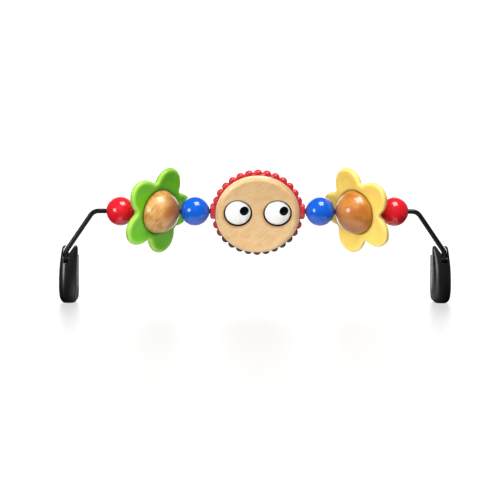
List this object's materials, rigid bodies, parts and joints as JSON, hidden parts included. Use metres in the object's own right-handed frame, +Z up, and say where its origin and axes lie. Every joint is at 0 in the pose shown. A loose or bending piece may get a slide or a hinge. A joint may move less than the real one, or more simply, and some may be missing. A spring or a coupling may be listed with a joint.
{
  "type": "bouncer toy bar",
  "caption": "Bent rod with turning wooden beads, flowers and a round face, held at both ends by swivelling clips that snap onto a baby bouncer.",
  "frame": {"origin": "on the surface that the clips stand on, below the middle of the bar", "axes": "+Z up, +X along the bar to the right as seen from the front, -Y to the front, where the face looks"},
  "size_m": [0.4004, 0.0669, 0.1381],
  "materials": {
    "rod_enamel": "semi-gloss black enamel",
    "steel": "plain",
    "red_lacquer": "high-gloss lacquer",
    "blue_lacquer": "high-gloss lacquer",
    "beech": "clear satin lacquer",
    "dark_beech": "clear gloss lacquer",
    "pale_beech": "clear satin lacquer",
    "red_plastic": "moulded gloss",
    "green_plastic": "moulded satin gloss",
    "yellow_plastic": "moulded satin gloss",
    "white_plastic": "polished",
    "black_plastic": "polished",
    "clip_plastic": "moulded semi-gloss"
  },
  "bodies": {
    "frame_rod": {"rod": "rod_enamel", "left_washer": "steel", "right_washer": "steel"},
    "left_outer_bead": {"left_red_bead": "red_lacquer"},
    "right_outer_bead": {"right_red_bead": "red_lacquer"},
    "left_inner_bead": {"left_blue_bead": "blue_lacquer"},
    "right_inner_bead": {"right_blue_bead": "blue_lacquer"},
    "left_flower": {"left_ball": "beech", "green_flower": "green_plastic"},
    "right_flower": {"right_ball": "dark_beech", "yellow_flower": "yellow_plastic"},
    "face": {"face_front_disc": "pale_beech", "face_back_disc": "pale_beech", "scalloped_ring": "red_plastic", "left_eye_pin": "steel", "right_eye_pin": "steel", "face_screw_1": "steel", "face_screw_2": "steel", "face_screw_3": "steel", "face_screw_4": "steel"},
    "left_eye_body": {"left_eye": "white_plastic", "left_pupil": "black_plastic"},
    "right_eye_body": {"right_eye": "white_plastic", "right_pupil": "black_plastic"},
    "left_clip_body": {"left_clip": "clip_plastic", "left_clip_pin": "steel"},
    "right_clip_body": {"right_clip": "clip_plastic", "right_clip_pin": "steel"}
  },
  "joints": [
    {"name": "left_red_bead_spin", "type": "hinge", "parent": "frame_rod", "child": "left_outer_bead", "pos_m": [-0.1372, -0.0002, 0.0937], "axis": [1, 0, 0], "continuous": true},
    {"name": "left_flower_spin", "type": "hinge", "parent": "frame_rod", "child": "left_flower", "pos_m": [-0.0994, -0.0002, 0.0937], "axis": [1, 0, 0], "continuous": true},
    {"name": "left_blue_bead_spin", "type": "hinge", "parent": "frame_rod", "child": "left_inner_bead", "pos_m": [-0.0616, -0.0002, 0.0937], "axis": [1, 0, 0], "continuous": true},
    {"name": "face_spin", "type": "hinge", "parent": "frame_rod", "child": "face", "pos_m": [0.002, -0.0002, 0.0937], "axis": [1, 0, 0], "continuous": true},
    {"name": "right_blue_bead_spin", "type": "hinge", "parent": "frame_rod", "child": "right_inner_bead", "pos_m": [0.0656, -0.0002, 0.0937], "axis": [1, 0, 0], "continuous": true},
    {"name": "right_flower_spin", "type": "hinge", "parent": "frame_rod", "child": "right_flower", "pos_m": [0.1034, -0.0002, 0.0937], "axis": [1, 0, 0], "continuous": true},
    {"name": "right_red_bead_spin", "type": "hinge", "parent": "frame_rod", "child": "right_outer_bead", "pos_m": [0.1412, -0.0002, 0.0937], "axis": [1, 0, 0], "continuous": true},
    {"name": "left_eye_turn", "type": "hinge", "parent": "face", "child": "left_eye_body", "pos_m": [-0.0181, -0.00072, 0.095], "axis": [0, -0.9272, -0.3746], "continuous": true},
    {"name": "right_eye_turn", "type": "hinge", "parent": "face", "child": "right_eye_body", "pos_m": [0.0221, -0.00072, 0.095], "axis": [0, -0.9272, -0.3746], "continuous": true},
    {"name": "left_clip_pivot", "type": "hinge", "parent": "frame_rod", "child": "left_clip_body", "pos_m": [-0.1926, -0.0002, 0.045], "axis": [-1, 0, 0], "range_deg": [0, 90]},
    {"name": "right_clip_pivot", "type": "hinge", "parent": "frame_rod", "child": "right_clip_body", "pos_m": [0.1926, -0.0002, 0.045], "axis": [-1, 0, 0], "range_deg": [0, 90]}
  ]
}
